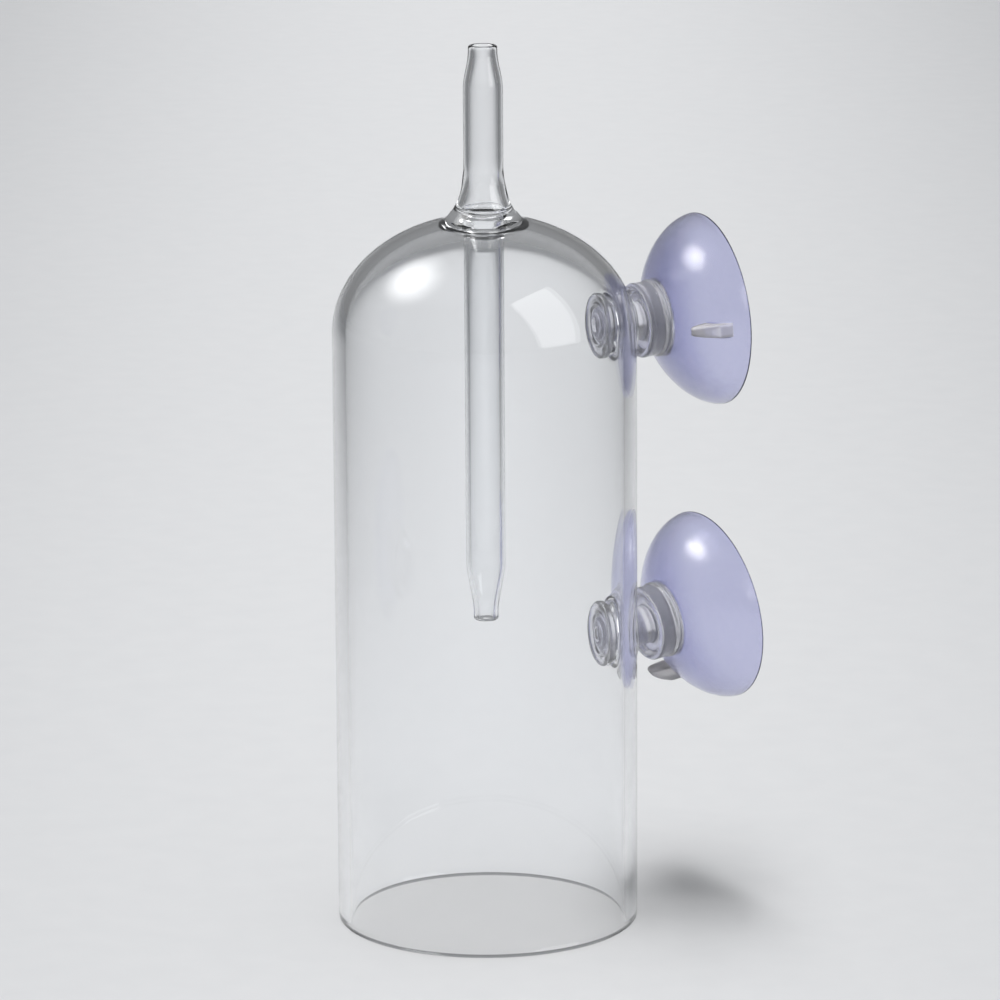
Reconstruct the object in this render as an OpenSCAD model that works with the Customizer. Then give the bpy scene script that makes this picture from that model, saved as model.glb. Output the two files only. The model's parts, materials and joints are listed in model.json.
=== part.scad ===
// Bell-type carbon dioxide diffuser for an aquarium.
// A clear glass bell with a gas tube through its dome hangs on two soft suction cups.
// Millimetres, +Z up. The origin is the centre of the bell's open bottom rim, and the
// cups point along +Y, towards the tank wall.

/* [Bell] */
// Outside diameter of the glass bell
bell_d = 46; // [44:0.5:50]
// Thickness of the bell's glass
wall = 2; // [1.6:0.1:2.4]
// Height of the straight side, from the bottom rim to the start of the dome
side_h = 91.6; // [88:0.2:110]
// Rise of the dome above the straight side
dome_rise = 17.8; // [16:0.2:22]
// Corner radius of the fire-polished bottom rim
rim_r = 0.6; // [0.3:0.1:0.7]

/* [Gas tube] */
// Outside diameter of the gas tube, which takes soft hose of 4 mm bore
tube_d = 6; // [5:0.1:6.5]
// Thickness of the tube's glass
tube_wall = 0.75; // [0.6:0.05:0.9]
// Height of the hose nipple above the top of the dome
inlet_h = 25.8; // [22:0.2:40]
// Outside diameter of the nipple's drawn-in tip
inlet_tip_d = 4.4; // [3.6:0.1:4.8]
// Length of the tube inside the bell, below the top of the dome
drop_h = 62.2; // [40:0.2:80]
// Outside diameter of the hanging tube's drawn-in tip
drop_tip_d = 3.8; // [3.4:0.1:4.8]

/* [Side holes] */
// Height of the lower hole's centre
lower_hole_z = 43.1; // [30:0.1:50]
// Height of the upper hole's centre
upper_hole_z = 91.3; // [80.1:0.2:91.9]
// Diameter of each hole
hole_d = 8; // [7.6:0.1:8.2]
// How far the melted lip stands out of the wall
lip_h = 0.6; // [0.4:0.1:0.8]

/* [Suction cups] */
// Diameter of the skirt at its sealing edge
cup_d = 29.6; // [28:0.1:30]
// Depth of the skirt, from the collar's back to the sealing edge
skirt_depth = 8.85; // [8:0.05:9.5]
// Diameter of the head inside the bell
head_d = 10.1; // [9.4:0.1:10.2]
// Thickness of the head
head_t = 1.5; // [1.3:0.1:1.8]
// Diameter of the neck between head and collar
neck_d = 6; // [5:0.1:6.2]
// Diameter of the collar outside the bell
collar_d = 11.5; // [10:0.1:12]
// Length of the collar
collar_len = 3.55; // [3:0.05:4]
// Distance from the bend in the upper neck to its collar
upper_reach = 2.1; // [2.1:0.1:3]
// Distance from the bend in the lower neck, which is drawn out further, to its collar
lower_reach = 3.7; // [3.4:0.1:4.2]
// Angle by which the upper cup leans out of square
upper_tilt = 6; // [0:0.5:6]
// Angle by which the lower cup leans out of square
lower_tilt = 12.8; // [0:0.2:13]

/* [Hidden] */
$fn = 96;
bell_r = bell_d / 2;
bore_r = bell_r - wall;
top_z = side_h + dome_rise;
dome_bore_rise = dome_rise - 0.9 * wall;    // the blown dome is a little thinner than the side
tube_r = tube_d / 2;
seal_r = 6;                                 // where the melted seal runs into the dome
seal_z = side_h + dome_rise * sin(acos(seal_r / bell_r));
seal_inner_z = side_h + dome_bore_rise * sin(acos(seal_r / bore_r));
seal_top_z = seal_z + 7.6;
seal_bottom_z = seal_inner_z - 1.6;
hole_r = hole_d / 2;
lip_r = hole_r + 1;
lip_in = 0.05;                              // how far the lip stands inside the bell
bend_y = bell_r - 0.65;                     // distance of each neck's bend from the bell's axis
head_r = head_d / 2;
upper_slack = 0.5;                          // room between the head's rim and the glass
lower_slack = 0.18;
neck_r = neck_d / 2;
collar_r = collar_d / 2;
cup_r = cup_d / 2;
skirt_edge_t = 0.55;                        // width of the flat sealing edge
skirt_t = 1.5;                              // thickness of the skirt beside the collar
skirt_floor_t = 0.9;                        // thickness of the skirt's flat middle
skirt_bulge = 1.72;                         // power of the skirt's curve: 2 would be an ellipse
skirt_rise = skirt_depth / pow(1 - pow(collar_r / cup_r, skirt_bulge), 1 / skirt_bulge);
upper_lean = -45;                           // direction of each lean, round the hole's axis
lower_lean = -52;
upper_tab_turn = 2;                         // place of each pull tab, round its cup's axis
lower_tab_turn = 115;
upper_tab_r = cup_r - 0.9;                  // radius out to each pull tab's outer side
lower_tab_r = cup_r - 2.1;
tab_span = 2.9;                             // width of each pull tab, in to out
glass = [0.86, 0.9, 0.93, 0.35];
vinyl = [0.74, 0.75, 0.95, 0.5];

// Points along an ellipse with half-axes rx and rz, centred at [x, z], from angle a to b.
function arc(rx, rz, x, z, a, b, n) =
    [for (i = [0:n]) let (t = a + (b - a) * i / n) [x + rx * cos(t), z + rz * sin(t)]];

// Points down a tube's wall, drawn in smoothly from radius r1 at z1 to r2 at z2.
function drawn_in(r1, r2, z1, z2, n = 10) =
    [for (i = [0:n]) [r1 + (r2 - r1) * (1 - cos(180 * i / n)) / 2, z1 + (z2 - z1) * i / n]];

// Points along a skirt's surface from radius r0 out to its edge of radius r at edge_z.
function skirt_line(r, rise, r0, edge_z, n = 14) =
    [for (i = [0:n]) let (x = r0 + (r - r0) * sin(90 * i / n))
        [x, edge_z - rise * pow(max(0, 1 - pow(x / r, skirt_bulge)), 1 / skirt_bulge)]];

function backwards(points) = [for (i = [len(points) - 1:-1:0]) points[i]];

// The dome's outline from the side up to radius r, out to in, with the wall grown by out and in.
function dome_outline(r, out, in) = concat(
    arc(bell_r + out, dome_rise + out, 0, side_h, 0, acos(r / (bell_r + out)), 20),
    arc(bore_r - in, dome_bore_rise - in, 0, side_h, acos(r / (bore_r - in)), 0, 20));

// Turns a child's +Z out through the side hole at height z.
module through_hole(z) {
    translate([0, 0, z]) rotate([-90, 0, 0]) children();
}

// Turns a child's +Z along a leaning cup's axis, starting at the bend in its neck.
module on_cup(z, tilt, lean) {
    translate([0, bend_y, z])
        rotate([0, lean, 0]) rotate([tilt, 0, 0]) rotate([0, -lean, 0])
            rotate([-90, 0, 0]) children();
}

module bell_shell() {
    color(glass) difference() {
        rotate_extrude() polygon(concat(
            arc(rim_r, rim_r, bore_r + rim_r, rim_r, 180, 270, 5),
            arc(rim_r, rim_r, bell_r - rim_r, rim_r, 270, 360, 5),
            dome_outline(seal_r, 0, 0)));
        for (z = [lower_hole_z, upper_hole_z])
            through_hole(z) cylinder(r = lip_r, h = 2 * bell_r);
    }
}

// The melted ring that lines a side hole and stands a little proud of the wall.
module hole_lip(z) {
    color(glass) intersection() {
        rotate_extrude() polygon(concat(
            [[bore_r - lip_in, 0], [bell_r + lip_h, 0]],
            dome_outline(seal_r, lip_h, lip_in)));
        through_hole(z) difference() {
            cylinder(r = lip_r, h = 2 * bell_r);
            cylinder(r = hole_r, h = 2 * bell_r);
        }
    }
}

// The melted glass that joins the dome to the tube above and below, with a wider chamber inside.
module tube_seal() {
    tube_bore = tube_r - tube_wall;
    color(glass) rotate_extrude() polygon([
        [seal_r, seal_z],
        [tube_r + 2.1, seal_z + 1.1],
        [tube_r + 1.4, seal_z + 1.8],
        [tube_r + 1.0, seal_z + 3.0],
        [tube_r + 0.5, seal_z + 4.5],
        [tube_r + 0.2, seal_z + 6.0],
        [tube_r, seal_top_z],
        [tube_bore, seal_top_z],
        [tube_bore, seal_z + 6.4],
        [tube_bore + 0.3, seal_z + 4.4],
        [tube_bore + 0.8, seal_z + 2.6],
        [tube_bore + 1.0, seal_z + 1.6],
        [tube_bore + 0.8, seal_z + 0.8],
        [tube_bore, seal_z],
        [tube_bore, seal_bottom_z],
        [tube_r, seal_bottom_z],
        [tube_r + 0.5, seal_inner_z - 0.9],
        [tube_r + 1.4, seal_inner_z - 0.3],
        [seal_r, seal_inner_z]]);
}

// A tube from the seal at start_z, up or down to tip_z, with its end drawn in to tip_r.
module gas_tube(start_z, tip_z, tip_r, tip_len, draw_len) {
    way = sign(tip_z - start_z);
    draw_z = tip_z - way * (tip_len + draw_len);
    end_z = tip_z - way * tip_len;
    color(glass) rotate_extrude() polygon(concat(
        [[tube_r, start_z]],
        drawn_in(tube_r, tip_r, draw_z, end_z),
        [[tip_r, tip_z], [tip_r - tube_wall, tip_z]],
        backwards(drawn_in(tube_r - tube_wall, tip_r - tube_wall, draw_z, end_z)),
        [[tube_r - tube_wall, start_z]]));
}

// The head with its moulded rings, square to the bell, and the neck that bends in the hole.
module cup_stem(z, tilt, lean, reach, slack) {
    back_y = sqrt(bore_r * bore_r - head_r * head_r) - slack;
    face_y = back_y - head_t;
    groove = 0.35;
    edge_r = 0.35;
    ring_h = 0.2;
    ring_t = 0.9;
    color(vinyl) union() {
        through_hole(z) rotate_extrude() polygon([
            [0, face_y + groove],
            [head_r * 0.28, face_y + groove],
            [head_r * 0.34, face_y],
            [head_r * 0.50, face_y],
            [head_r * 0.56, face_y + groove],
            [head_r * 0.72, face_y + groove],
            [head_r * 0.78, face_y],
            [head_r - edge_r, face_y],
            [head_r, face_y + edge_r],
            [head_r, back_y - edge_r],
            [head_r - edge_r, back_y],
            [neck_r, back_y],
            [neck_r, bend_y],
            [0, bend_y]]);
        translate([0, bend_y, z]) sphere(r = neck_r + 0.06);
        on_cup(z, tilt, lean) rotate_extrude() polygon([
            [0, 0],
            [neck_r, 0],
            [neck_r, reach],
            [collar_r - edge_r, reach],
            [collar_r, reach + edge_r],
            [collar_r, reach + collar_len - ring_t],
            [collar_r + ring_h, reach + collar_len - ring_t + ring_h],
            [collar_r + ring_h, reach + collar_len - ring_h],
            [collar_r, reach + collar_len],
            [0, reach + collar_len]]);
    }
}

module cup_skirt(z, tilt, lean, reach) {
    back = reach + collar_len;
    edge = back + skirt_depth;
    bowl_r = cup_r - skirt_edge_t;
    bowl_rise = skirt_rise - skirt_t;
    floor_depth = skirt_depth - skirt_floor_t;
    floor_r = bowl_r * pow(1 - pow(floor_depth / bowl_rise, skirt_bulge), 1 / skirt_bulge);
    color(vinyl) on_cup(z, tilt, lean) rotate_extrude() polygon(concat(
        [[0, back]],
        skirt_line(cup_r, skirt_rise, collar_r, edge),
        backwards(skirt_line(bowl_r, bowl_rise, floor_r, edge)),
        [[0, edge - floor_depth]]));
}

// A short peg on the skirt's back, out to radius tab_r, to lift the sealing edge off the pane.
module pull_tab(z, tilt, lean, reach, turn, tab_r) {
    back = reach + collar_len;
    edge = back + skirt_depth;
    root = edge - skirt_rise * pow(1 - pow(tab_r / cup_r, skirt_bulge), 1 / skirt_bulge);
    half_w = 1;
    color(vinyl) on_cup(z, tilt, lean) difference() {
        rotate([0, 0, turn]) rotate([90, 0, 0]) translate([0, 0, -half_w])
            linear_extrude(2 * half_w) polygon([
                [tab_r - tab_span, root - 5.8],
                [tab_r - 1.8, root - 5.5],
                [tab_r - 0.8, root - 4.8],
                [tab_r - 0.2, root - 3.7],
                [tab_r, root - 2.3],
                [tab_r, edge],
                [tab_r - tab_span, edge]]);
        rotate_extrude() polygon(concat(
            [[0, back]],
            skirt_line(cup_r, skirt_rise, collar_r, edge),
            [[cup_r, edge + 1], [0, edge + 1]]));
    }
}

bell_shell();
hole_lip(upper_hole_z);  // upper_hole_lip
hole_lip(lower_hole_z);  // lower_hole_lip
tube_seal();
gas_tube(seal_top_z, top_z + inlet_h, inlet_tip_d / 2, 0.8, 6);  // inlet_tube
gas_tube(seal_bottom_z, top_z - drop_h, drop_tip_d / 2, 1, 8.3);  // drop_tube
cup_stem(upper_hole_z, upper_tilt, upper_lean, upper_reach, upper_slack);  // upper_cup_stem
cup_skirt(upper_hole_z, upper_tilt, upper_lean, upper_reach);  // upper_cup_skirt
pull_tab(upper_hole_z, upper_tilt, upper_lean, upper_reach, upper_tab_turn, upper_tab_r);  // upper_pull_tab
cup_stem(lower_hole_z, lower_tilt, lower_lean, lower_reach, lower_slack);  // lower_cup_stem
cup_skirt(lower_hole_z, lower_tilt, lower_lean, lower_reach);  // lower_cup_skirt
pull_tab(lower_hole_z, lower_tilt, lower_lean, lower_reach, lower_tab_turn, lower_tab_r);  // lower_pull_tab
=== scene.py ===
# Looks of a bell-type carbon dioxide diffuser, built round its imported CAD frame.
# Metres, +Z up; the bell's open rim is centred on the origin and the cups point along +Y.
import json
import math

import bmesh
import bpy
from mathutils import Matrix, Vector


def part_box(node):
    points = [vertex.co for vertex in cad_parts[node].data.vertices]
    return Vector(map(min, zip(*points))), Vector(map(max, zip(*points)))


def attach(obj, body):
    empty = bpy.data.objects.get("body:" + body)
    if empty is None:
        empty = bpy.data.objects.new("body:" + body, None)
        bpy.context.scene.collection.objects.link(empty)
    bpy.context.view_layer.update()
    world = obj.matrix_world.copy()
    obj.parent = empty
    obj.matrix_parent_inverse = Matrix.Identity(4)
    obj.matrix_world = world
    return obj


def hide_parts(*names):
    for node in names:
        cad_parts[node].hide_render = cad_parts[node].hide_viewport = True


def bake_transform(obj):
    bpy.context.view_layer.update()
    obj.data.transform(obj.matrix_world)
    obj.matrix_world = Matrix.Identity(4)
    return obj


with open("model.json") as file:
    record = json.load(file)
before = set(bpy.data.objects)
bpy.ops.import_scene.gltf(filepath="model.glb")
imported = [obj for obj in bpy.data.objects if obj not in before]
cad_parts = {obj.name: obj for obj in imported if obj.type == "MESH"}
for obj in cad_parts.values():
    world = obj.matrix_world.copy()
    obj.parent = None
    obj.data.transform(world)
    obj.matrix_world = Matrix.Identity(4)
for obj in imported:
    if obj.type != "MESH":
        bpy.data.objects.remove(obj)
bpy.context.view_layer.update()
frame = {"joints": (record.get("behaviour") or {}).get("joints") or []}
MM = 0.001

# ---------------------------------------------------------------- sizes, from the frame
shell_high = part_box("bell_shell")[1]
seal_low, seal_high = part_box("tube_seal")
inlet_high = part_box("inlet_tube")[1]
drop_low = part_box("drop_tube")[0]
lip_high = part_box("lower_hole_lip")[1]

BELL_R = shell_high.x
SEAL_R = seal_high.x
SEAL_Z = shell_high.z
SEAL_TOP = seal_high.z
SEAL_BOTTOM = seal_low.z
TUBE_R = inlet_high.x
TIP_TOP = inlet_high.z
TIP_BOTTOM = drop_low.z
LIP_H = lip_high.y - BELL_R

WALL = 2.0 * MM
BORE_R = BELL_R - WALL
DOME_RISE = 17.8 * MM
DOME_BORE_RISE = DOME_RISE - 0.9 * WALL
SIDE_H = SEAL_Z - DOME_RISE * math.sin(math.acos(SEAL_R / BELL_R))
TUBE_WALL = 0.75 * MM
INLET_TIP_R = 2.2 * MM
INLET_STRAIGHT = 0.8 * MM
INLET_DRAW = 6.0 * MM
DROP_TIP_R = 1.9 * MM
DROP_STRAIGHT = 1.0 * MM
DROP_DRAW = 8.3 * MM
HOLE_R = 4.0 * MM
LIP_BEAD = 0.75 * MM
LIP_FOOT_R = 5.7 * MM
LIP_RISE = 0.95 * LIP_H
LIP_SINK = -0.05 * MM
RIM_ROUND = 0.8 * MM
SEAL_WOBBLE = 0.11 * MM

JOINTS = {joint["name"]: joint for joint in frame["joints"]}
UP = Vector((0, 0, 1))
OUT = Vector((0, 1, 0))

# ---------------------------------------------------------------- camera

VIEW_AZIMUTH = 70.0


def camera_frame(azimuth, elevation):
    """Right, up and back directions of a camera that looks along an azimuth from above."""
    a = math.radians(azimuth)
    e = math.radians(elevation)
    back = Vector((math.sin(a) * math.cos(e), -math.cos(a) * math.cos(e), math.sin(e)))
    right = UP.cross(back).normalized()
    return right, back.cross(right), back


def make_camera():
    elevation = 13.05
    distance = 0.9
    target_height = 65.6 * MM
    sideways = 2.2 * MM
    roll = math.radians(-0.34)
    right, up, back = camera_frame(VIEW_AZIMUTH, elevation)
    location = Vector((0, 0, target_height)) + right * sideways + back * distance
    rolled_right = right * math.cos(roll) + up * math.sin(roll)
    rolled_up = back.cross(rolled_right)
    data = bpy.data.cameras.new("camera")
    data.lens = 213.7
    data.sensor_width = 36.0
    data.clip_start = 0.05
    data.clip_end = 20.0
    camera = bpy.data.objects.new("camera", data)
    turn = Matrix((rolled_right, rolled_up, back)).transposed()
    camera.matrix_world = Matrix.Translation(location) @ turn.to_4x4()
    bpy.context.scene.collection.objects.link(camera)
    bpy.context.scene.camera = camera


# ---------------------------------------------------------------- mesh helpers


def link_mesh(name, mesh_data, material):
    mesh = bpy.data.meshes.new(name)
    mesh_data.to_mesh(mesh)
    mesh_data.free()
    mesh.materials.append(material)
    mesh.polygons.foreach_set("use_smooth", [True] * len(mesh.polygons))
    piece = bpy.data.objects.new(name, mesh)
    bpy.context.scene.collection.objects.link(piece)
    return piece


def bridge(mesh, loop_a, loop_b):
    """Quads between two closed loops that hold the same number of vertices."""
    count = len(loop_a)
    for i in range(count):
        j = (i + 1) % count
        mesh.faces.new((loop_a[i], loop_a[j], loop_b[j], loop_b[i]))


def spread(start, end, step):
    """Values from start to just before end, evenly spaced about a step apart."""
    count = max(1, round(abs(end - start) / step))
    return [start + (end - start) * i / count for i in range(count)]


def eased(a, b, t):
    return a + (b - a) * (1 - math.cos(math.pi * t)) / 2


def smooth_line(points, parts):
    """A Catmull-Rom curve through points, with that many parts between each pair."""
    line = []
    last = len(points) - 1
    for i in range(last):
        p0 = points[max(i - 1, 0)]
        p1 = points[i]
        p2 = points[i + 1]
        p3 = points[min(i + 2, last)]
        for k in range(parts):
            t = k / parts
            line.append(tuple(
                0.5 * (2 * b + (c - a) * t + (2 * a - 5 * b + 4 * c - d) * t * t
                       + (3 * b - a - 3 * c + d) * t ** 3)
                for a, b, c, d in zip(p0, p1, p2, p3)))
    line.append(tuple(points[last]))
    return line


# ---------------------------------------------------------------- the blown glass

COLUMNS = 192
HOLE_COLUMN = COLUMNS // 4
WINDOW_COLUMNS = 10
WINDOW_H = 7.4 * MM
WINDOW_ROWS = 20
RIM_PARTS = 12


def outer_r(z):
    if z <= SIDE_H:
        return BELL_R
    return BELL_R * math.sqrt(max(0.0, 1 - ((z - SIDE_H) / DOME_RISE) ** 2))


def inner_r(z):
    if z <= SIDE_H:
        return BORE_R
    return BORE_R * math.sqrt(max(0.0, 1 - ((z - SIDE_H) / DOME_BORE_RISE) ** 2))


def side_heights(hole_heights):
    """Heights of the rows up the bell's side, with even rows across each hole's window."""
    heights = []
    start = 1.2 * MM
    for hole_z in hole_heights:
        low = hole_z - WINDOW_H
        heights += spread(start, low, 2.0 * MM)
        heights += spread(low, low + 2 * WINDOW_H, 2 * WINDOW_H / WINDOW_ROWS)
        start = low + 2 * WINDOW_H
    heights.append(start)
    return heights


def dome_rows(radius, rise, from_z, parts=18):
    """Rows over the dome from a height up to the seal, as (radius, height)."""
    first = math.asin((from_z - SIDE_H) / rise)
    last = math.acos(SEAL_R / radius)
    rows = []
    for i in range(1, parts + 1):
        angle = first + (last - first) * i / parts
        rows.append((radius * math.cos(angle), SIDE_H + rise * math.sin(angle)))
    return rows


def tip_round(tip_r, tip_z, way, parts=8):
    """The fire-polished end of a tube: a half circle over its wall, outside to inside."""
    half = TUBE_WALL / 2
    rows = []
    for i in range(1, parts):
        angle = math.pi * i / parts
        rows.append((tip_r - half + half * math.cos(angle),
                     tip_z - way * (half - half * math.sin(angle))))
    return rows


def tube_rows(start_z, tip_z, tip_r, straight_end, draw_length):
    """Rows along a tube's outside, from the seal to where its end is drawn in."""
    way = 1 if tip_z > start_z else -1
    draw_z = tip_z - way * (straight_end + draw_length)
    rows = [(TUBE_R, z) for z in spread(start_z, draw_z, 1.6 * MM)]
    parts = 14
    for i in range(parts + 1):
        rows.append((eased(TUBE_R, tip_r, i / parts), draw_z + way * draw_length * i / parts))
    rows.append((tip_r, tip_z - way * TUBE_WALL * 0.6))
    return rows


def bored(rows):
    """The same rows along the tube's bore, run back the other way."""
    return [(r - TUBE_WALL, z) for r, z in reversed(rows)]


def melted(rows):
    """Rows with the wobble of hand-melted glass, which fades to none at both ends."""
    last = len(rows) - 1
    return [(r, z, SEAL_WOBBLE * math.sin(math.pi * i / last)) for i, (r, z) in enumerate(rows)]


def glass_rows(hole_heights):
    """The whole section of the fused glass as one closed line of (radius, height, wobble)."""
    sides = side_heights(hole_heights)
    outer_side = [(outer_r(z), z) for z in sides]
    inner_side = [(inner_r(z), z) for z in sides]
    outer_dome = dome_rows(BELL_R, DOME_RISE, sides[-1])
    inner_dome = dome_rows(BORE_R, DOME_BORE_RISE, sides[-1])
    inner_seal_z = inner_dome[-1][1]

    flare = smooth_line([
        outer_dome[-1],
        (TUBE_R + 2.1 * MM, SEAL_Z + 1.0 * MM),
        (TUBE_R + 1.45 * MM, SEAL_Z + 1.8 * MM),
        (TUBE_R + 0.95 * MM, SEAL_Z + 3.0 * MM),
        (TUBE_R + 0.5 * MM, SEAL_Z + 4.5 * MM),
        (TUBE_R + 0.18 * MM, SEAL_Z + 6.0 * MM),
        (TUBE_R, SEAL_TOP)], 4)
    nipple = tube_rows(SEAL_TOP, TIP_TOP, INLET_TIP_R, INLET_STRAIGHT, INLET_DRAW)
    hole_r = TUBE_R - TUBE_WALL
    chamber = smooth_line([
        (hole_r, SEAL_TOP),
        (hole_r + 0.02 * MM, SEAL_Z + 6.0 * MM),
        (hole_r + 0.3 * MM, SEAL_Z + 4.4 * MM),
        (hole_r + 0.8 * MM, SEAL_Z + 2.6 * MM),
        (hole_r + 1.05 * MM, SEAL_Z + 1.7 * MM),
        (hole_r + 0.75 * MM, SEAL_Z + 1.15 * MM),
        (hole_r + 0.85 * MM, SEAL_Z + 0.7 * MM),
        (hole_r + 0.1 * MM, SEAL_Z + 0.1 * MM),
        (hole_r + 0.25 * MM, SEAL_Z - 0.5 * MM),
        (hole_r, SEAL_Z - 1.6 * MM),
        (hole_r, SEAL_BOTTOM)], 3)
    hanging = tube_rows(SEAL_BOTTOM, TIP_BOTTOM, DROP_TIP_R, DROP_STRAIGHT, DROP_DRAW)
    inner_flare = smooth_line([
        (TUBE_R, SEAL_BOTTOM),
        (TUBE_R + 0.12 * MM, inner_seal_z - 1.1 * MM),
        (TUBE_R + 0.55 * MM, inner_seal_z - 0.55 * MM),
        (TUBE_R + 1.5 * MM, inner_seal_z - 0.25 * MM),
        inner_dome[-1]], 4)

    rim = []
    for i in range(1, RIM_PARTS):
        angle = math.pi + math.pi * i / RIM_PARTS
        rim.append((BELL_R - WALL / 2 + WALL / 2 * math.cos(angle),
                    RIM_ROUND + RIM_ROUND * math.sin(angle)))

    section = [(r, z, 0.0) for r, z in outer_side + outer_dome[:-1]]
    section += melted(flare)[:-1]
    section += [(r, z, 0.0) for r, z in nipple + tip_round(INLET_TIP_R, TIP_TOP, 1)]
    section += [(r, z, 0.0) for r, z in bored(nipple)[:-1]]
    section += melted(chamber)
    section += [(r - TUBE_WALL, z, 0.0) for r, z in hanging[1:]]
    section += [(r, z, 0.0) for r, z in reversed(tip_round(DROP_TIP_R, TIP_BOTTOM, -1))]
    section += [(r, z, 0.0) for r, z in reversed(hanging[1:])]
    section += melted(inner_flare)[:-1]
    section += [(r, z, 0.0) for r, z in reversed(inner_dome)]
    section += [(r, z, 0.0) for r, z in reversed(inner_side)]
    section += [(r, z, 0.0) for r, z in rim]
    return section, sides


def wobbled(r, z, wobble, angle):
    """Radius of hand-melted glass, a little out of round where the wobble isn't zero."""
    if wobble == 0:
        return r
    wave = math.sin(2 * angle + 1.3 + 900 * z) + 0.7 * math.sin(3 * angle - 0.5 - 1400 * z)
    return r + wobble * wave * 0.6


def window_loop(rows, low_row, high_row):
    """Vertices round a hole's window, anticlockwise from its lower left corner."""
    first = HOLE_COLUMN + WINDOW_COLUMNS
    last = HOLE_COLUMN - WINDOW_COLUMNS
    way = 1 if high_row > low_row else -1
    loop = [rows[low_row][c] for c in range(first, last, -1)]
    loop += [rows[r][last] for r in range(low_row, high_row, way)]
    loop += [rows[high_row][c] for c in range(last, first)]
    loop += [rows[r][first] for r in range(high_row, low_row, -way)]
    return loop


def hole_patch(mesh, hole_z, outer_loop, inner_loop):
    """Fills a window in both walls up to the hole, whose edge is a round melted lip."""
    crest_r = HOLE_R + LIP_BEAD
    steps = 4
    angles = [math.atan2(v.co.z - hole_z, v.co.x) for v in outer_loop]

    def ring(place):
        return [mesh.verts.new(place(i, angle)) for i, angle in enumerate(angles)]

    def on_wall(x, z, wall_r, lift):
        r = wall_r(z) + lift
        return Vector((x, math.sqrt(r * r - x * x), z))

    def round_hole(radius, angle):
        return radius * math.cos(angle), hole_z + radius * math.sin(angle)

    def approach(loop, wall_r):
        """Rings from a window's edge to the circle where the lip starts to rise."""
        rings = []
        for k in range(1, steps + 1):
            t = k / steps

            def place(i, angle, t=t):
                x, z = round_hole(LIP_FOOT_R, angle)
                edge = loop[i].co
                return on_wall(edge.x + (x - edge.x) * t, edge.z + (z - edge.z) * t, wall_r, 0)

            rings.append(ring(place))
        return rings

    def slope(wall_r, height):
        """Rings up the lip's outer slope, from its foot to just before its crest."""
        rings = []
        parts = 7
        for k in range(1, parts):
            radius = LIP_FOOT_R + (crest_r - LIP_FOOT_R) * k / parts
            lift = eased(0, height, k / parts)

            def place(i, angle, radius=radius, lift=lift):
                x, z = round_hole(radius, angle)
                return on_wall(x, z, wall_r, lift)

            rings.append(ring(place))
        return rings

    def bead_rings():
        """Rings round the melted edge, from the outer crest through the hole to the inner one."""
        rings = []
        parts = 14
        for k in range(parts + 1):
            turn = math.pi / 2 - math.pi * k / parts

            def place(i, angle, turn=turn):
                x, z = round_hole(crest_r, angle)
                outside = on_wall(x, z, outer_r, LIP_RISE).y
                inside = on_wall(x, z, inner_r, LIP_SINK).y
                radius = crest_r - LIP_BEAD * math.cos(turn)
                x, z = round_hole(radius, angle)
                y = (outside + inside) / 2 + (outside - inside) / 2 * math.sin(turn)
                return Vector((x, y, z))

            rings.append(ring(place))
        return rings

    loops = [outer_loop] + approach(outer_loop, outer_r) + slope(outer_r, LIP_RISE)
    loops += bead_rings()
    inward = [inner_loop] + approach(inner_loop, inner_r) + slope(inner_r, LIP_SINK)
    loops += reversed(inward)
    for a, b in zip(loops, loops[1:]):
        bridge(mesh, a, b)


def make_glass(material, hole_heights):
    section, sides = glass_rows(hole_heights)
    mesh = bmesh.new()
    rows = []
    for r, z, wobble in section:
        row = []
        for c in range(COLUMNS):
            angle = 2 * math.pi * c / COLUMNS
            radius = wobbled(r, z, wobble, angle)
            row.append(mesh.verts.new((radius * math.cos(angle), radius * math.sin(angle), z)))
        rows.append(row)

    count = len(rows)
    inner_last = count - RIM_PARTS
    windows = []
    for hole_z in hole_heights:
        low = min(range(len(sides)), key=lambda i: abs(sides[i] - (hole_z - WINDOW_H)))
        high = low + WINDOW_ROWS
        windows.append((hole_z, low, high, inner_last - low, inner_last - high))

    def in_window(row, column):
        if not HOLE_COLUMN - WINDOW_COLUMNS <= column < HOLE_COLUMN + WINDOW_COLUMNS:
            return False
        return any(a <= row < b or d <= row < c for _, a, b, c, d in windows)

    for i in range(count):
        j = (i + 1) % count
        for c in range(COLUMNS):
            if in_window(i, c):
                continue
            d = (c + 1) % COLUMNS
            mesh.faces.new((rows[i][c], rows[i][d], rows[j][d], rows[j][c]))
    for hole_z, a, b, c, d in windows:
        hole_patch(mesh, hole_z, window_loop(rows, a, b), window_loop(rows, c, d))
    loose = [v for v in mesh.verts if not v.link_faces]
    bmesh.ops.delete(mesh, geom=loose, context="VERTS")
    bmesh.ops.recalc_face_normals(mesh, faces=mesh.faces)
    glass = link_mesh("blown_glass", mesh, material)
    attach(glass, "glass")
    glass.visible_shadow = False
    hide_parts("bell_shell", "tube_seal", "inlet_tube", "drop_tube",
                "upper_hole_lip", "lower_hole_lip")
    return glass


# ---------------------------------------------------------------- the suction cups

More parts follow.
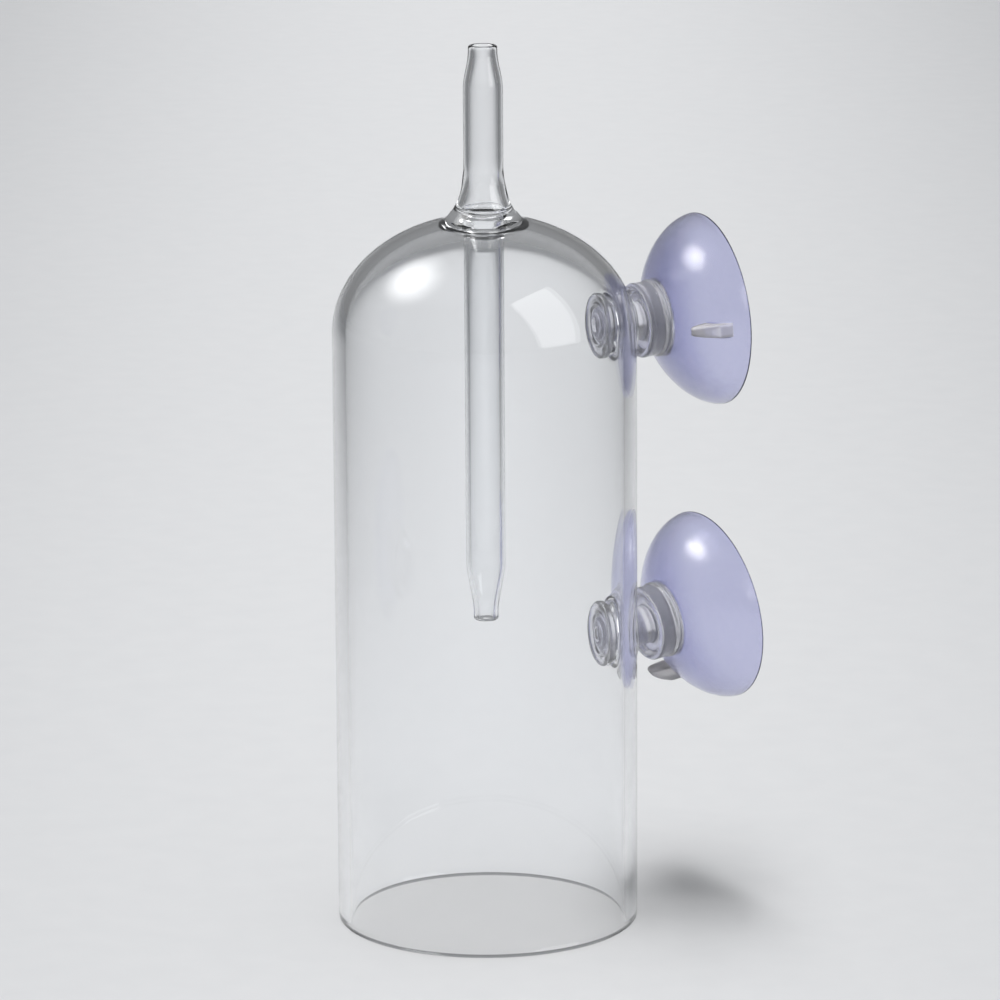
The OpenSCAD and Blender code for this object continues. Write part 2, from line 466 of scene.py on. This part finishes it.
CUP_COLUMNS = 160
CUP_R = 14.8 * MM
SKIRT_DEPTH = 8.85 * MM
SKIRT_BULGE = 1.72
SKIRT_EDGE_T = 0.55 * MM
BOWL_FLOOR_T = 0.9 * MM
COLLAR_R = 5.75 * MM
COLLAR_RING_R = 5.82 * MM
COLLAR_LEN = 3.55 * MM
NECK_R = 3.0 * MM
HEAD_T = 1.5 * MM
TAB_OUTER_R = {"upper": CUP_R - 0.9 * MM, "lower": CUP_R - 2.1 * MM}
TAB_SPAN = 2.9 * MM
TAB_ROWS = 6
TAB_COLUMNS = 4
TAB_HALF_W = 1.0 * MM
TAB_TURN = {"upper": 2.0, "lower": 115.0}
COLLAR_FRONT = {"upper": 2.1 * MM, "lower": 3.7 * MM}


def skirt_curve(radius, rise, r):
    """How far a skirt surface stands behind its sealing edge at radius r."""
    share = min(1.0, r / radius)
    return rise * (1 - share ** SKIRT_BULGE) ** (1 / SKIRT_BULGE)


def millimetres(points, start):
    """Points in millimetres with distances from a start, as metres."""
    return [(r * MM, start + s * MM) for r, s in points]


def head_outline(face):
    """The button inside the bell: a ringed face, a round edge and a flat back."""
    ringed_face = [
        (0.0, 0.42), (0.7, 0.42), (1.05, 0.36), (1.25, 0.2), (1.45, 0.06), (1.8, 0.0),
        (2.15, 0.05), (2.35, 0.2), (2.5, 0.34), (2.75, 0.38), (2.95, 0.32), (3.1, 0.16),
        (3.3, 0.08), (3.5, 0.14), (3.62, 0.22), (3.78, 0.16), (3.95, 0.03), (4.3, 0.0)]
    edge = [(4.65, 0.02), (4.88, 0.12), (5.0, 0.28), (5.05, 0.5), (5.05, 1.0), (4.99, 1.25),
            (4.85, 1.41), (4.6, 1.5)]
    back = [(4.1, 1.5), (3.5, 1.5), (3.2, 1.53), (3.05, 1.64)]
    return millimetres(ringed_face + edge + back, face)


def collar_outline(front):
    """The collar outside the bell, dished in front, with a raised ring at its back."""
    dish = [(3.0, 0.55), (3.06, 0.7), (3.25, 0.79), (3.7, 0.8), (4.2, 0.78), (4.5, 0.68),
            (4.66, 0.48), (4.75, 0.24), (4.86, 0.08)]
    barrel = [(5.05, 0.0), (5.35, 0.01), (5.58, 0.09), (5.71, 0.24), (5.75, 0.42),
              (5.74, 0.8), (5.72, 1.3), (5.70, 1.8), (5.68, 2.2), (5.68, 2.42)]
    ring = [(5.72, 2.55), (5.82, 2.64), (5.92, 2.74), (5.95, 2.9), (5.95, 3.05), (5.91, 3.2),
            (5.82, 3.31), (5.74, 3.38)]
    return millimetres(dish + barrel + ring, front)


def skirt_outline(edge, tab_r):
    """The skirt's back, with even rows across its pull tab, its thin sealing rim and its bowl."""
    shape = (1 - (COLLAR_R / CUP_R) ** SKIRT_BULGE) ** (1 / SKIRT_BULGE)
    rise = SKIRT_DEPTH / shape
    inner = spread(COLLAR_RING_R, tab_r - TAB_SPAN, 0.5 * MM)
    across_tab = [tab_r - TAB_SPAN * (1 - i / TAB_ROWS) for i in range(TAB_ROWS)]
    outer_rows = 10
    outer = [CUP_R - (CUP_R - tab_r) * (1 - i / outer_rows) ** 2 for i in range(outer_rows)]
    back = [(r, edge - skirt_curve(CUP_R, rise, r)) for r in inner + across_tab + outer]
    rim = [(CUP_R, edge - 0.16 * MM), (CUP_R - 0.03 * MM, edge - 0.05 * MM),
           (CUP_R - 0.12 * MM, edge), (CUP_R - SKIRT_EDGE_T + 0.12 * MM, edge)]
    bowl_r = CUP_R - SKIRT_EDGE_T
    bowl = []
    parts = 30
    for i in range(1, parts):
        r = bowl_r * math.cos(math.pi / 2 * i / parts)
        bowl.append((r, edge - skirt_curve(bowl_r, SKIRT_DEPTH - BOWL_FLOOR_T, r)))
    bowl.append((0.0, bowl[-1][1]))
    return back + rim + bowl, len(inner)


class CupPath:
    """The line down a cup's middle: along the hole's axis, round the bend, along the cup's."""

    def __init__(self, bend, axis, ease):
        self.bend = bend
        self.axis = axis
        self.ease = ease
        self.hinge = OUT.cross(axis).normalized()

    def place(self, s):
        """Centre and turn of the section at distance s from the bend."""
        if s <= -self.ease:
            return self.bend + OUT * s, Matrix.Identity(3)
        if s >= self.ease:
            full = Matrix.Rotation(OUT.angle(self.axis), 3, self.hinge)
            return self.bend + self.axis * s, full
        t = (s + self.ease) / (2 * self.ease)
        centre = self.bend - OUT * self.ease * (1 - t) ** 2 + self.axis * self.ease * t * t
        heading = (OUT * (1 - t) + self.axis * t).normalized()
        return centre, Matrix.Rotation(OUT.angle(heading), 3, self.hinge)

    def point(self, s, r, angle):
        centre, turn = self.place(s)
        return centre + turn @ Vector((r * math.cos(angle), 0, -r * math.sin(angle)))


def add_tab(mesh, rows, first, path, turn):
    """The pull tab: a small peg with a slanted round-edged end, drawn out of the skirt's back."""
    half = TAB_COLUMNS // 2
    edge_of_grid = [(0, c) for c in range(-half, half)]
    edge_of_grid += [(k, half) for k in range(TAB_ROWS)]
    edge_of_grid += [(TAB_ROWS, c) for c in range(half, -half, -1)]
    edge_of_grid += [(k, -half) for k in range(TAB_ROWS, 0, -1)]
    outer_r = rows[first + TAB_ROWS][0]
    middle_r = outer_r - TAB_SPAN / 2
    root = rows[first + TAB_ROWS][2]

    def vertex(k, c, height, inset):
        r0, _, s0 = rows[first + k]
        share = k / TAB_ROWS
        end = root - (5.8 - 1.2 * share - 2.3 * share ** 3) * MM
        s = s0 + (end - s0) * height
        r = r0 + (middle_r - r0) * inset / (TAB_SPAN / 2)
        narrow = 1 - inset / TAB_HALF_W - 0.28 * height * (1 - share) ** 0.7
        angle = turn + math.asin(TAB_HALF_W * c / half * narrow / r)
        return mesh.verts.new(path.point(s, r, angle))

    foot = [rows[first + k][1][c % CUP_COLUMNS] for k, c in edge_of_grid]
    levels = ((0.05, 0.0), (0.14, 0.0), (0.5, 0.0), (0.8, 0.03), (0.92, 0.1), (0.98, 0.22))
    loops = [foot]
    for height, inset in levels:
        loops.append([vertex(k, c, height, inset * MM) for k, c in edge_of_grid])
    top = {(k, c): vertex(k, c, 1.0, 0.42 * MM)
           for k in range(TAB_ROWS + 1) for c in range(-half, half + 1)}
    loops.append([top[spot] for spot in edge_of_grid])
    before = len(mesh.faces)
    for a, b in zip(loops, loops[1:]):
        bridge(mesh, a, b)
    for k in range(TAB_ROWS):
        for c in range(-half, half):
            mesh.faces.new((top[k, c], top[k, c + 1], top[k + 1, c + 1], top[k + 1, c]))
    mesh.faces.ensure_lookup_table()
    for face in mesh.faces[before:]:
        face.material_index = 2


def make_cup(name, materials):
    bend = Vector(JOINTS[name + "_cup_turn"]["pos_m"])
    axis = -Vector(JOINTS[name + "_cup_press"]["axis"]).normalized()
    turn = math.radians(TAB_TURN[name])
    front = COLLAR_FRONT[name]
    back = front + COLLAR_LEN
    edge = back + SKIRT_DEPTH
    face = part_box(name + "_cup_stem")[0].y - bend.y
    path = CupPath(bend, axis, 0.95 * min(front, -face - HEAD_T))
    head = head_outline(face)
    collar = collar_outline(front)
    neck = [(NECK_R, s) for s in
            spread(head[-1][1] + 0.2 * MM, collar[0][1] - 0.15 * MM, 0.25 * MM)]
    skirt, rows_to_tab = skirt_outline(edge, TAB_OUTER_R[name])
    section = head + neck + collar + skirt
    first_tab_row = len(head) + len(neck) + len(collar) + rows_to_tab

    mesh = bmesh.new()
    rows = []
    for r, s in section:
        angles = [0.0]
        if r > 0:
            angles = [turn + 2 * math.pi * c / CUP_COLUMNS for c in range(CUP_COLUMNS)]
        rows.append((r, [mesh.verts.new(path.point(s, r, angle)) for angle in angles], s))
    half = TAB_COLUMNS // 2
    first_skirt_row = len(head) + len(neck) + len(collar)
    for i, ((_, a, _), (_, b, _)) in enumerate(zip(rows, rows[1:])):
        under_tab = first_tab_row <= i < first_tab_row + TAB_ROWS
        for c in range(CUP_COLUMNS):
            d = (c + 1) % CUP_COLUMNS
            if under_tab and (c < half or c >= CUP_COLUMNS - half):
                continue
            if len(a) == 1:
                corners = (a[0], b[d], b[c])
            elif len(b) == 1:
                corners = (a[c], a[d], b[0])
            else:
                corners = (a[c], a[d], b[d], b[c])
            mesh.faces.new(corners).material_index = 1 if i >= first_skirt_row else 0
    add_tab(mesh, rows, first_tab_row, path, turn)
    loose = [v for v in mesh.verts if not v.link_faces]
    bmesh.ops.delete(mesh, geom=loose, context="VERTS")
    bmesh.ops.recalc_face_normals(mesh, faces=mesh.faces)
    cup = link_mesh(name + "_suction_cup", mesh, materials[0])
    for material in materials[1:]:
        cup.data.materials.append(material)
    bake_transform(cup)
    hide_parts(name + "_cup_stem", name + "_cup_skirt", name + "_pull_tab")
    return cup


# ---------------------------------------------------------------- materials

GLASS_IOR = 1.473
VINYL_IOR = 1.53


def new_material(name):
    material = bpy.data.materials.new(name)
    material.use_nodes = True
    nodes = material.node_tree.nodes
    return material, nodes, material.node_tree.links, nodes["Principled BSDF"]


def noise(nodes, scale, detail=2.0, roughness=0.5):
    texture = nodes.new("ShaderNodeTexNoise")
    texture.inputs["Scale"].default_value = scale
    texture.inputs["Detail"].default_value = detail
    texture.inputs["Roughness"].default_value = roughness
    return texture


def stretched(nodes, links, scale):
    """Object coordinates with their own scale on each axis, for streaks."""
    place = nodes.new("ShaderNodeTexCoord")
    mapping = nodes.new("ShaderNodeMapping")
    mapping.inputs["Scale"].default_value = scale
    links.new(place.outputs["Object"], mapping.inputs["Vector"])
    return mapping.outputs["Vector"]


def value_range(nodes, links, source, low, high, from_low=0.35, from_high=0.65):
    """Turns a texture's value into a range of values."""
    mapper = nodes.new("ShaderNodeMapRange")
    mapper.inputs["From Min"].default_value = from_low
    mapper.inputs["From Max"].default_value = from_high
    mapper.inputs["To Min"].default_value = low
    mapper.inputs["To Max"].default_value = high
    links.new(source, mapper.inputs["Value"])
    return mapper.outputs["Result"]


def bump(nodes, links, height, strength, distance):
    node = nodes.new("ShaderNodeBump")
    node.inputs["Strength"].default_value = strength
    node.inputs["Distance"].default_value = distance
    links.new(height, node.inputs["Height"])
    return node.outputs["Normal"]


def glass_material():
    """Clear lamp-worked borosilicate: long soft draw lines up the tube and a faint waviness."""
    material, nodes, links, shader = new_material("clear_borosilicate")
    shader.inputs["Transmission Weight"].default_value = 1.0
    shader.inputs["IOR"].default_value = GLASS_IOR
    shader.inputs["Base Color"].default_value = (0.985, 0.99, 0.995, 1.0)
    smears = noise(nodes, 60.0, 4.0, 0.6)
    links.new(value_range(nodes, links, smears.outputs["Fac"], 0.0, 0.035, 0.4, 0.8),
              shader.inputs["Roughness"])
    drawn = noise(nodes, 1.0, 3.0)
    links.new(stretched(nodes, links, (70.0, 70.0, 5.0)), drawn.inputs["Vector"])
    links.new(bump(nodes, links, drawn.outputs["Fac"], 0.05, 0.0003), shader.inputs["Normal"])
    return material


def vinyl_material(name, thin, thick, low_haze, high_haze, clearness=1.0):
    """Clear soft PVC with a blue-violet cast, slightly hazed and rippled from its mould."""
    material, nodes, links, shader = new_material(name)
    shader.inputs["Transmission Weight"].default_value = clearness
    shader.inputs["IOR"].default_value = VINYL_IOR
    tint = noise(nodes, 45.0, 2.0)
    colours = nodes.new("ShaderNodeMix")
    colours.data_type = "RGBA"
    colours.inputs["A"].default_value = (*thick, 1.0)
    colours.inputs["B"].default_value = (*thin, 1.0)
    links.new(tint.outputs["Fac"], colours.inputs["Factor"])
    links.new(colours.outputs["Result"], shader.inputs["Base Color"])
    haze = noise(nodes, 320.0, 4.0, 0.65)
    links.new(value_range(nodes, links, haze.outputs["Fac"], low_haze, high_haze),
              shader.inputs["Roughness"])
    ripple = noise(nodes, 260.0, 3.0)
    links.new(bump(nodes, links, ripple.outputs["Fac"], 0.1, 0.0002), shader.inputs["Normal"])
    return material


def frosted_material():
    """The pull tab's PVC, with the fine matt grain of its spark-eroded mould cavity."""
    material, nodes, links, shader = new_material("frosted_vinyl")
    shader.inputs["Transmission Weight"].default_value = 0.62
    shader.inputs["IOR"].default_value = VINYL_IOR
    grain = noise(nodes, 2600.0, 5.0, 0.7)
    colours = nodes.new("ShaderNodeMix")
    colours.data_type = "RGBA"
    colours.inputs["A"].default_value = (0.97, 0.94, 0.98, 1.0)
    colours.inputs["B"].default_value = (1.0, 0.98, 1.0, 1.0)
    links.new(grain.outputs["Fac"], colours.inputs["Factor"])
    links.new(colours.outputs["Result"], shader.inputs["Base Color"])
    links.new(value_range(nodes, links, grain.outputs["Fac"], 0.08, 0.24), shader.inputs["Roughness"])
    links.new(bump(nodes, links, grain.outputs["Fac"], 0.3, 0.0001), shader.inputs["Normal"])
    return material


def floor_material():
    """Pale matt studio board with a fine tooth."""
    material, nodes, links, shader = new_material("pale_board")
    grain = noise(nodes, 900.0, 4.0)
    colours = nodes.new("ShaderNodeMix")
    colours.data_type = "RGBA"
    colours.inputs["A"].default_value = (0.60, 0.605, 0.615, 1.0)
    colours.inputs["B"].default_value = (0.64, 0.643, 0.65, 1.0)
    links.new(grain.outputs["Fac"], colours.inputs["Factor"])
    links.new(colours.outputs["Result"], shader.inputs["Base Color"])
    shader.inputs["Roughness"].default_value = 0.6
    links.new(bump(nodes, links, grain.outputs["Fac"], 0.1, 0.0002), shader.inputs["Normal"])
    return material


# ---------------------------------------------------------------- floor and light

FLOOR_R = 3.0
FLOOR_T = 0.03
FLOOR_EDGE = 0.005
BAND_HEIGHT = 0.8
BAND_BEHIND = 0.45
BAND_WIDTH = 0.18
BAND_LENGTH = 2.0
BAND_SPREAD = 55.0
WORLD_STRENGTH = 0.46
BAND_POWER = 2.7


def make_floor():
    """A wide round board under the bell, thick and with a softened edge."""
    mesh = bmesh.new()
    columns = 96
    rings = []
    for r, z in ((0.02, 0.0), (0.2, 0.0), (1.0, 0.0), (FLOOR_R - FLOOR_EDGE, 0.0),
                 (FLOOR_R, -FLOOR_EDGE), (FLOOR_R, -FLOOR_T)):
        rings.append([mesh.verts.new((r * math.cos(2 * math.pi * c / columns),
                                      r * math.sin(2 * math.pi * c / columns), z))
                      for c in range(columns)])
    mesh.faces.new(rings[0])
    for a, b in zip(rings, rings[1:]):
        bridge(mesh, a, b)
    bmesh.ops.recalc_face_normals(mesh, faces=mesh.faces)
    data = bpy.data.meshes.new("floor")
    mesh.to_mesh(data)
    mesh.free()
    data.materials.append(floor_material())
    floor = bpy.data.objects.new("floor", data)
    bpy.context.scene.collection.objects.link(floor)


def soft_light(name, lit_pieces, azimuth, elevation, size, power, feather=0.0, mirrored=True):
    """A rectangular softbox a metre off that lights only the given pieces; feather dims its edges.

    Without mirrored, its light is only sampled directly, so it still reaches a piece behind the glass.
    """
    aim = Vector((0, 0, 0.06))
    back = camera_frame(azimuth, elevation)[2]
    data = bpy.data.lights.new(name, "AREA")
    data.shape = "RECTANGLE"
    data.size, data.size_y = size
    data.energy = power
    data.cycles.use_multiple_importance_sampling = mirrored
    lamp = bpy.data.objects.new(name, data)
    lamp.location = aim + back
    lamp.rotation_mode = "QUATERNION"
    lamp.rotation_quaternion = (-back).to_track_quat("-Z", "Y")
    lamp.light_linking.receiver_collection = lit_pieces
    lamp.visible_camera = False
    bpy.context.scene.collection.objects.link(lamp)
    if feather > 0:
        data.use_nodes = True
        nodes = data.node_tree.nodes
        links = data.node_tree.links
        place = nodes.new("ShaderNodeNewGeometry")
        offset = nodes.new("ShaderNodeVectorMath")
        offset.operation = "DISTANCE"
        offset.inputs[1].default_value = (0.5, 0.5, 0.0)
        links.new(place.outputs["Parametric"], offset.inputs[0])
        fade = nodes.new("ShaderNodeMapRange")
        fade.interpolation_type = "SMOOTHSTEP"
        fade.inputs["From Min"].default_value = 0.5 - feather
        fade.inputs["From Max"].default_value = 0.5
        fade.inputs["To Min"].default_value = 1.0
        fade.inputs["To Max"].default_value = 0.0
        links.new(offset.outputs["Value"], fade.inputs["Value"])
        links.new(fade.outputs["Result"], nodes["Emission"].inputs["Strength"])
    return lamp


def overhead_band():
    """A long gridded strip overhead, which lights a bright lane of floor behind the object."""
    data = bpy.data.lights.new("overhead_band", "AREA")
    data.shape = "RECTANGLE"
    data.size = BAND_WIDTH
    data.size_y = BAND_LENGTH
    data.energy = BAND_POWER
    data.spread = math.radians(BAND_SPREAD)
    lamp = bpy.data.objects.new("overhead_band", data)
    lamp.visible_glossy = False
    lamp.visible_transmission = False
    away = camera_frame(VIEW_AZIMUTH, 0.0)[2]
    lamp.location = UP * BAND_HEIGHT - away * BAND_BEHIND
    lamp.rotation_euler = (0, 0, math.atan2(away.y, away.x) - math.pi / 2)
    bpy.context.scene.collection.objects.link(lamp)


def make_world():
    """A studio surround: bright overhead, darker towards the horizon, so clear edges read."""
    world = bpy.data.worlds.new("studio")
    world.use_nodes = True
    nodes = world.node_tree.nodes
    links = world.node_tree.links
    background = nodes["Background"]
    place = nodes.new("ShaderNodeTexCoord")
    split = nodes.new("ShaderNodeSeparateXYZ")
    links.new(place.outputs["Generated"], split.inputs["Vector"])
    ramp = nodes.new("ShaderNodeValToRGB")
    links.new(value_range(nodes, links, split.outputs["Z"], 0.0, 1.0, -0.1, 1.0),
              ramp.inputs["Fac"])
    ramp.color_ramp.elements[0].color = (0.44, 0.446, 0.455, 1.0)
    ramp.color_ramp.elements[1].color = (0.80, 0.82, 0.85, 1.0)
    links.new(ramp.outputs["Color"], background.inputs["Color"])
    background.inputs["Strength"].default_value = WORLD_STRENGTH
    bpy.context.scene.world = world


def collected(name, pieces):
    """A collection of pieces, for a light to shine on."""
    group = bpy.data.collections.new(name)
    for piece in pieces:
        group.objects.link(piece)
    return group


def make_lights(glass, cups):
    lit_glass = collected("lit_glass", [glass])
    lit_cups = collected("lit_cups", cups)
    make_world()
    overhead_band()
    soft_light("left_softbox", lit_glass, 323.0, 52.0, (1.0, 0.8), 15.0, 0.5)
    soft_light("window_softbox", lit_glass, 130.0, 31.0, (0.66, 1.06), 4.4)
    soft_light("cup_softbox", lit_cups, 344.0, 41.0, (0.66, 0.42), 20.0, 0.5, mirrored=False)
    soft_light("collar_softbox", lit_cups, 100.0, 22.0, (0.5, 0.6), 5.0, 0.5, mirrored=False)
    scene = bpy.context.scene
    scene.view_settings.view_transform = "Standard"
    scene.cycles.max_bounces = 20
    scene.cycles.transmission_bounces = 20
    scene.cycles.transparent_max_bounces = 16
    scene.cycles.caustics_reflective = False
    scene.cycles.caustics_refractive = False


# ---------------------------------------------------------------- build

HOLE_HEIGHTS = [JOINTS["lower_cup_turn"]["pos_m"][2], JOINTS["upper_cup_turn"]["pos_m"][2]]
cup_materials = [
    vinyl_material("clear_vinyl", (0.94, 0.94, 0.98), (0.89, 0.89, 0.96), 0.03, 0.08, 0.95),
    vinyl_material("violet_skirt_vinyl", (0.69, 0.70, 0.90), (0.57, 0.58, 0.84), 0.10, 0.17),
    frosted_material()]
make_floor()
glass = make_glass(glass_material(), HOLE_HEIGHTS)
cups = [make_cup(name, cup_materials) for name in ("upper", "lower")]
make_lights(glass, cups)
make_camera()
